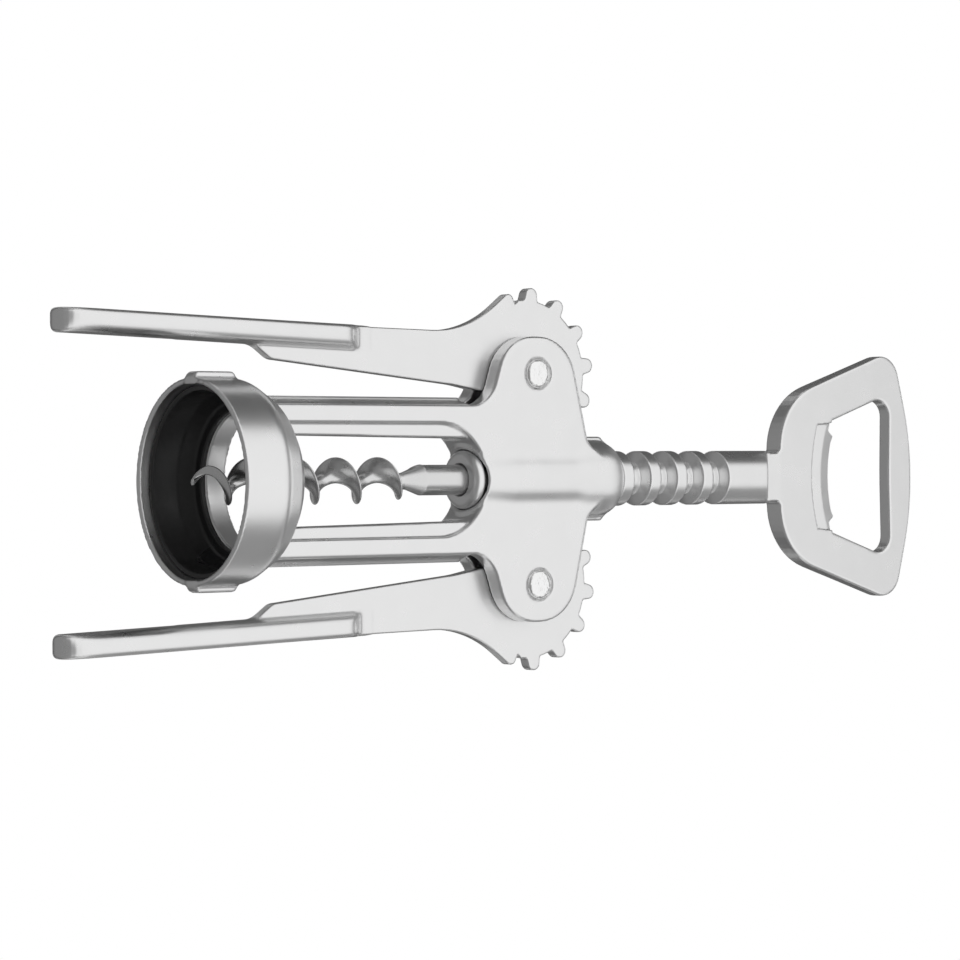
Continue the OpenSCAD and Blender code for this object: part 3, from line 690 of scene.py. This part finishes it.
    def build(self) -> bpy.types.Object:
        """Makes the piece, which stands for its CAD node."""
        return cast("rack_handle_body", self.solid, (-self.half_w, -RACK_R, self.bottom),
                    (self.half_w, RACK_R, self.end_z + 0.5), self.step)


@dataclass
class TurnedParts:
    """The liner, the stop ring and the rivets, each a profile turned round its axis."""

    liner_wall: float = 1.0
    press_gap: float = 0.02
    ring_bottom: float = 57.8
    ring_top: float = 62.9
    ring_r: float = 5.5
    ring_round: float = 1.4
    ring_flange: float = 2.9
    ring_neck_r: float = 4.6
    ring_hole: float = 2.83
    head_r: float = 2.65
    head_proud: float = 0.35
    head_sunk: float = 0.7
    dome: float = 0.5

    def liner(self, bell: FrameCasting) -> bpy.types.Object:
        """Moulded liner that follows the bell's pocket, with a rounded mouth."""
        outer = bell.pocket_r - self.press_gap
        inner = outer - self.liner_wall
        top, floor_z = bell.pocket_deep - self.press_gap, bell.pocket_deep - self.liner_wall
        turn = bell.turn_z - 0.3 * self.liner_wall
        hole = bell.throat_r + 0.2
        profile = rounded([
            (inner, bell.lip, 0.4), (outer, bell.lip, 0.3), (outer, bell.turn_z, 0),
            (bell.pocket_side(bell.pocket_deep) - self.press_gap, top, 0),
            (hole, top, 0.1), (hole, floor_z, 0.3),
            (inner - bell.lean * (floor_z - turn), floor_z, 0.9), (inner, turn, 2)])
        return shape("bell_liner_moulding", *turned(profile, 160))

    def ring(self) -> bpy.types.Object:
        """Ring under the rack: a flange with a round rim, and a neck above it."""
        flange_top = self.ring_bottom + self.ring_flange
        profile = rounded([
            (self.ring_hole, self.ring_bottom + 0.3, 0), (self.ring_hole + 0.3, self.ring_bottom, 0.1),
            (self.ring_r, self.ring_bottom, self.ring_round), (self.ring_r, flange_top, self.ring_round),
            (self.ring_neck_r, flange_top, 0.05), (self.ring_neck_r, self.ring_top, 0.1),
            (self.ring_hole, self.ring_top, 0.1)])
        return shape("stop_ring_body", *turned(profile))

    def rivet(self, side: int, half: float) -> bpy.types.Object:
        """Rivet across the cheeks at one side (-1 left, 1 right).

        A head's height falls off with the eighth power of the radius: flat in the middle, steep at the rim.
        """
        face = half + self.head_proud
        low = half - self.head_sunk
        dome = [(self.head_r * t, face - self.dome * t ** 8, 0) for t in np.linspace(1, 0, 25)]
        head = [(self.head_r, low, 0.05), *dome]
        shank = [(self.head_r * 0.8, low, 0), (self.head_r * 0.8, -low, 0)]
        tail = [(r, -z, e) for r, z, e in head[::-1]]
        places, quads = turned(rounded([*tail, *shank[::-1], *head]), 64)
        return self.stood(places, quads, side)

    def stood(self, places: Array, quads: Array, side: int) -> bpy.types.Object:
        """Turns a rivet's axis from Z to Y and puts it on its hinge."""
        x, y, z = places.T
        placed = np.stack([x + side * PIVOT_X, -z, y + PIVOT_Z], 1)
        return closed(shape(f"{'left' if side < 0 else 'right'}_rivet_head", placed, quads))


@dataclass
class Worm:
    """The auger: a wire with a blade's section, wound open at its tip, that runs into a shank."""

    tip_z: float = 0.8
    radius: float = 4.2
    pitch: float = 9.05
    flight_z: float = 25.9
    past: float = 0.45
    shank_r: float = 2.77
    neck_r: float = 1.3
    shank_z: float = 48.8
    cone: float = 4.2
    sink: float = 0.6
    blunt: float = 2.3
    top_z: float = 66.0
    step: float = 0.17

    def reaches(self, z: Array) -> tuple[Array, Array]:
        """Inner and outer reach of the wire at height z, the inner below zero where it passes the axis.

        Both start close to the axis at the tip, where the wire is thin and winds round an open middle.
        """
        turns = (z - self.tip_z) / self.pitch
        blade_end = self.shank_z - 5.4
        inner = 0.4 + 0.85 * ease(turns / 0.3) - (1.25 + self.past) * ease((turns - 0.25) / 0.85)
        outer = 0.85 + 1.87 * np.sqrt(np.clip(turns / 0.3, 0, 1)) * (1 - 0.04 * ease(turns))
        outer = outer + (self.radius - 2.72) * ease((turns - 0.15) / 0.75)
        outer = outer + 0.1 * ease(turns)
        outer = outer - (self.radius - self.shank_r + self.sink) * ease((z - blade_end + 2) / 6)
        return inner, np.minimum(outer, self.radius)

    def solid(self, x: Array, y: Array, z: Array) -> Array:
        """Distance to the worm.

        At each height the blade's section is a superellipse a little narrower at its outer end, turned
        once a pitch. It sinks into a cone that widens to the shank.
        """
        turn = 2 * math.pi * (z - self.flight_z) / self.pitch
        out = x * np.cos(turn) + y * np.sin(turn)
        along = y * np.cos(turn) - x * np.sin(turn)
        inner, outer = self.reaches(z)
        half = (outer - inner) / 2
        share = (out - (inner + outer) / 2) / half
        wide = (0.45 + 0.36 * half) * np.clip(half / 0.4, 0.2, 1) * (1 - 0.08 * np.tanh(share))
        blade = (np.abs(share) ** self.blunt + np.abs(along / wide) ** self.blunt) ** (1 / self.blunt)
        blade = (blade - 1) * np.minimum(half, wide)
        blade = blade / np.sqrt(1 + (2 * math.pi / self.pitch) ** 2 * (x * x + y * y))
        blade = np.maximum(np.maximum(blade, self.tip_z - z), z - self.shank_z)
        widens = np.clip((z - self.shank_z) / self.cone + 1, 0, 1)
        core = self.neck_r + (self.shank_r - self.neck_r) * widens
        core = core - self.neck_r * ease((self.shank_z - self.cone - z) / 3.5)
        shank = np.maximum((np.hypot(x, y) - core) * 0.8, z - self.top_z)
        return joined(blade, np.maximum(shank, self.shank_z - 7.5 - z), 0.5)

    def build(self) -> bpy.types.Object:
        """Makes the worm, which stands for its CAD node."""
        r = self.radius
        return cast("worm_auger", self.solid, (-r, -r, self.tip_z), (r, r, self.top_z), self.step)


def ease(x: Array) -> Array:
    """Rises smoothly from 0 to 1 as x goes from 0 to 1."""
    t = np.clip(x, 0, 1)
    return t * t * (3 - 2 * t)


# ---------------------------------------------------------------- finishes

def linear(code: str) -> tuple[float, float, float, float]:
    """Linear colour of an sRGB hex value such as #d3d3d1."""
    parts = [int(code[i:i + 2], 16) / 255 for i in (1, 3, 5)]
    return (*[p / 12.92 if p <= 0.04045 else ((p + 0.055) / 1.055) ** 2.4 for p in parts], 1.0)


def node(tree: bpy.types.NodeTree, kind: str, settings: dict | None = None, links: dict | None = None,
         **attributes: object) -> bpy.types.Node:
    """Adds a node.

    Args:
        tree: tree that the node goes into.
        kind: Blender's name of the node.
        settings: values of its input sockets.
        links: output sockets that feed its input sockets.
        attributes: its own properties.
    Returns:
        The new node.
    """
    made = tree.nodes.new(kind)
    for key, value in attributes.items():
        setattr(made, key, value)
    for key, value in (settings or {}).items():
        made.inputs[key].default_value = value
    for key, socket in (links or {}).items():
        tree.links.new(socket, made.inputs[key])
    return made


class Grain(Enum):
    """How a surface was made, which sets its fine relief."""

    PLATED_CASTING = "plated casting"
    PEENED = "peened"
    GROUND = "ground"
    MOULDED = "moulded"


@dataclass(frozen=True)
class Finish:
    """A finish: its colour, its gloss and the size and depth of its fine relief in millimetres."""

    name: str
    colour: str
    metallic: float
    roughness: float
    rough_spread: float
    grain: Grain
    grain_mm: float
    relief_mm: float
    ior: float = 1.5

    def material(self) -> bpy.types.Material:
        """Makes the material: noise in object space drives the roughness and a small bump."""
        made = bpy.data.materials.new(self.name)
        made.use_nodes = True
        tree = made.node_tree
        tree.nodes.clear()
        place = node(tree, "ShaderNodeTexCoord").outputs["Object"]
        stretch = (1, 1, 0.15) if self.grain is Grain.GROUND else (1, 1, 1)
        place = node(tree, "ShaderNodeMapping", {"Scale": stretch}, {"Vector": place}).outputs["Vector"]
        fine = node(tree, "ShaderNodeTexNoise", {"Scale": 1 / (self.grain_mm * MM), "Detail": 3.0},
                    {"Vector": place})
        broad = node(tree, "ShaderNodeTexNoise", {"Scale": 0.12 / (self.grain_mm * MM), "Detail": 2.0},
                     {"Vector": place})
        rough = node(tree, "ShaderNodeMapRange", {
            "From Min": 0.3, "From Max": 0.7, "To Min": self.roughness - self.rough_spread,
            "To Max": self.roughness + self.rough_spread}, {"Value": broad.outputs["Fac"]})
        bump = node(tree, "ShaderNodeBump", {"Strength": 1.0, "Distance": self.relief_mm * MM},
                    {"Height": fine.outputs["Fac"]})
        settings = {"Base Color": linear(self.colour), "Metallic": self.metallic}
        if self.metallic == 0:
            settings["IOR"] = self.ior
        shader = node(tree, "ShaderNodeBsdfPrincipled", settings,
                      {"Roughness": rough.outputs["Result"], "Normal": bump.outputs["Normal"]})
        node(tree, "ShaderNodeOutputMaterial", links={"Surface": shader.outputs["BSDF"]})
        return made


# Die-cast zinc, blasted and plated with satin nickel-chrome: pale, soft and even
SATIN_ZINC = Finish("satin_plated_zinc", "#e7e7e7", 1.0, 0.29, 0.02, Grain.PLATED_CASTING, 0.5, 0.002)
# Steel rivet heads, closed with a tool and tumbled bright: small dents in a mirror
PEENED_STEEL = Finish("peened_bright_steel", "#f2f2f2", 1.0, 0.2, 0.06, Grain.PEENED, 0.8, 0.15)
# Hardened carbon steel, ground and oiled: darker and glossier than the castings
GROUND_STEEL = Finish("ground_worm_steel", "#dadada", 1.0, 0.27, 0.03, Grain.GROUND, 0.4, 0.002)
# Black nylon, injection moulded: matt, with broad flow marks
BLACK_NYLON = Finish("moulded_black_nylon", "#161617", 0.0, 0.34, 0.12, Grain.MOULDED, 1.2, 0.06)


# ---------------------------------------------------------------- studio

@dataclass(frozen=True)
class Card:
    """A grey card that only reflections see. Azimuths run from the front (-Y) towards +X, in degrees."""

    name: str
    azimuths: tuple[float, float]
    heights: tuple[float, float]
    grey: float
    feather: float

    def build(self) -> None:
        """Makes a patch of a 1.5 m ball; its cover rises smoothly from its edges over its feather."""
        a = np.linspace(*self.azimuths, 73)[None]
        e = np.linspace(*self.heights, 25)[:, None]
        round_it = self.azimuths[1] - self.azimuths[0] >= 360
        aside = 90 + 0 * a if round_it else np.minimum(a - self.azimuths[0], self.azimuths[1] - a)
        above = 90 + 0 * e if self.heights[1] >= 90 else self.heights[1] - e
        below = 90 + 0 * e if self.heights[0] <= -90 else e - self.heights[0]
        cover = ease(aside / self.feather) * ease(above / self.feather) * ease(below / self.feather)
        a, e = np.radians(a), np.radians(e)
        places = 1500 * np.stack([np.sin(a) * np.cos(e), -np.cos(a) * np.cos(e), np.sin(e) + 0 * a], 2)
        i, j = np.meshgrid(np.arange(24), np.arange(72), indexing="ij")
        k = (i * 73 + j).ravel()
        made = shape(self.name, places.reshape(-1, 3), np.stack([k, k + 1, k + 74, k + 73], 1))
        values = made.data.attributes.new("cover", "FLOAT", "POINT")
        values.data.foreach_set("value", cover.ravel().astype(np.float32))
        made.data.materials.append(self.paint())
        made.visible_camera = made.visible_diffuse = made.visible_shadow = False
        made.visible_transmission = made.visible_volume_scatter = False

    def paint(self) -> bpy.types.Material:
        """Material of the card: clear at its feathered edge, grey inside."""
        made = bpy.data.materials.new(self.name)
        made.use_nodes = True
        tree = made.node_tree
        tree.nodes.clear()
        cover = node(tree, "ShaderNodeAttribute", attribute_name="cover").outputs["Fac"]
        clear = node(tree, "ShaderNodeBsdfTransparent").outputs[0]
        glow = node(tree, "ShaderNodeEmission", {"Color": (self.grey, self.grey, self.grey, 1)}).outputs[0]
        mix = node(tree, "ShaderNodeMixShader", links={0: cover, 1: clear, 2: glow})
        node(tree, "ShaderNodeOutputMaterial", links={"Surface": mix.outputs[0]})
        return made


@dataclass
class Studio:
    """Floor, lamp, cards, backdrop and camera. None of it belongs to the object."""

    floor_half: float = 3.0
    # The solved camera: focal length in pixels of a 960-pixel frame, angles in radians
    focal_px: float = 3200.0
    frame_px: float = 960.0
    yaw: float = 0.65173
    pitch: float = -0.00208
    roll: float = -0.00717
    eye: tuple[float, float, float] = (-0.001155, -0.467547, -0.294020)
    cards: tuple[Card, ...] = (
        Card("card_left_and_back", (112, 306), (6, 66), 0.11, 16),
        Card("card_right", (34, 124), (6, 66), 0.27, 20),
        Card("card_left_low", (240, 303), (-40, 12), 0.16, 14),
        Card("card_back_low", (104, 252), (-32, 16), 0.12, 12),
        Card("card_right_low", (44, 124), (-40, 12), 0.28, 16),
        Card("card_overhead", (0, 360), (52, 77), 0.2, 9),
        Card("card_below", (0, 360), (-90, -10), 0.26, 14))

    def floor(self) -> bpy.types.Object:
        """A pale floor at the level of the levers' tips, unseen by the camera from below."""
        h = self.floor_half
        places = np.array([(-h, -h, 0), (h, -h, 0), (h, h, 0), (-h, h, 0)]) / MM
        places[:, 2] = cad_low.z / MM - 0.05
        made = shape("floor", places, np.array([[0, 1, 2, 3]]))
        made.visible_shadow = made.visible_glossy = False
        paint = bpy.data.materials.new("pale_floor")
        paint.use_nodes = True
        tree = paint.node_tree
        tree.nodes.clear()
        matt = node(tree, "ShaderNodeBsdfDiffuse", {"Color": linear("#ececea")})
        clear = node(tree, "ShaderNodeBsdfTransparent")
        below = node(tree, "ShaderNodeMath", links={
            0: node(tree, "ShaderNodeNewGeometry").outputs["Backfacing"]}, operation="GREATER_THAN")
        mix = node(tree, "ShaderNodeMixShader", links={
            0: below.outputs[0], 1: matt.outputs[0], 2: clear.outputs[0]})
        node(tree, "ShaderNodeOutputMaterial", links={"Surface": mix.outputs[0]})
        made.data.materials.append(paint)
        return made

    def backdrop(self) -> None:
        """White to the camera and in reflections; a plain grey fill for everything else."""
        world = bpy.data.worlds.new("studio")
        bpy.context.scene.world = world
        world.use_nodes = True
        tree = world.node_tree
        tree.nodes.clear()
        ray = node(tree, "ShaderNodeLightPath")
        seen = node(tree, "ShaderNodeMath", links={
            0: ray.outputs["Is Camera Ray"], 1: ray.outputs["Is Glossy Ray"]}, operation="MAXIMUM")
        seen = node(tree, "ShaderNodeMath", links={
            0: seen.outputs[0], 1: ray.outputs["Is Transmission Ray"]}, operation="MAXIMUM")
        white = node(tree, "ShaderNodeBackground", {"Color": (1, 1, 1, 1), "Strength": 1.0})
        fill = node(tree, "ShaderNodeBackground", {"Color": (1, 1, 1, 1), "Strength": 0.95})
        mix = node(tree, "ShaderNodeMixShader", links={
            0: seen.outputs[0], 1: fill.outputs[0], 2: white.outputs[0]})
        node(tree, "ShaderNodeOutputWorld", links={"Surface": mix.outputs[0]})

    def lamp(self, name: str, place: tuple[float, float, float], size: float, watts: float) -> None:
        """A square soft lamp that faces the object's middle; metal mirrors the white world instead."""
        light = bpy.data.lights.new(name, "AREA")
        light.shape = "SQUARE"
        light.size = size
        light.energy = watts
        made = bpy.data.objects.new(name, light)
        made.location = place
        middle = (cad_low + cad_high) / 2
        made.rotation_euler = (middle - Vector(place)).to_track_quat("-Z", "Y").to_euler()
        made.visible_glossy = False
        bpy.context.scene.collection.objects.link(made)

    def camera(self) -> None:
        """The camera of the photograph: it looks along +Y and +Z, with the picture's right along +Z."""
        ahead = np.array([0, math.cos(self.yaw), math.sin(self.yaw)])
        right = np.array([0, -math.sin(self.yaw), math.cos(self.yaw)])
        up = np.cross(right, ahead)
        ahead, up = (ahead * math.cos(self.pitch) + up * math.sin(self.pitch),
                     up * math.cos(self.pitch) - ahead * math.sin(self.pitch))
        right, up = (right * math.cos(self.roll) + up * math.sin(self.roll),
                     up * math.cos(self.roll) - right * math.sin(self.roll))
        data = bpy.data.cameras.new("camera")
        data.sensor_width = 36.0
        data.lens = self.focal_px / self.frame_px * data.sensor_width
        data.clip_start = 0.01
        made = bpy.data.objects.new("camera", data)
        turn = np.eye(4)
        turn[:3, 0], turn[:3, 1], turn[:3, 2] = right, up, -ahead
        turn[:3, 3] = self.eye
        made.matrix_world = Matrix(turn.tolist())
        bpy.context.scene.collection.objects.link(made)
        bpy.context.scene.camera = made

    def build(self) -> None:
        """Sets up the whole studio."""
        self.camera()
        self.floor()
        self.backdrop()
        for card in self.cards:
            card.build()
        self.lamp("key", (0.35, -1.3, 1.1), 1.0, 9.0)
        bpy.context.scene.view_settings.view_transform = "Standard"


# ---------------------------------------------------------------- putting it together

def dress(piece: bpy.types.Object, body: str, replaced: str, finish: bpy.types.Material) -> None:
    """Gives a piece its finish and its place in the mechanism.

    Args:
        piece: the new piece.
        body: body it moves with.
        replaced: CAD node it stands for.
        finish: its material.
    """
    piece.data.materials.append(finish)
    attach(piece, body)
    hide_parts(replaced)
    LOG.info("%s: %d faces, rides on %s", piece.name, len(piece.data.polygons), body)


def main() -> None:
    """Builds the studio, then every piece of the corkscrew."""
    logging.basicConfig(level=logging.INFO, format="%(message)s")
    Studio().build()
    zinc, bright = SATIN_ZINC.material(), PEENED_STEEL.material()
    steel, black = GROUND_STEEL.material(), BLACK_NYLON.material()
    casting = FrameCasting()
    turned_parts = TurnedParts()
    dress(casting.build(), "frame", "frame_casting", zinc)
    dress(turned_parts.liner(casting), "frame", "bell_liner", black)
    for side, name in ((-1, "left_rivet"), (1, "right_rivet")):
        dress(turned_parts.rivet(side, casting.half), "frame", name, bright)
    for piece, name in zip(Lever().build(), ("left_lever", "right_lever")):
        dress(piece, name, name, zinc)
    dress(turned_parts.ring(), "rack_carriage", "stop_ring", zinc)
    dress(RackHandle().build(), "worm_drive", "rack_handle", zinc)
    dress(Worm().build(), "worm_drive", "worm", steel)


if __name__ == "__main__":
    main()
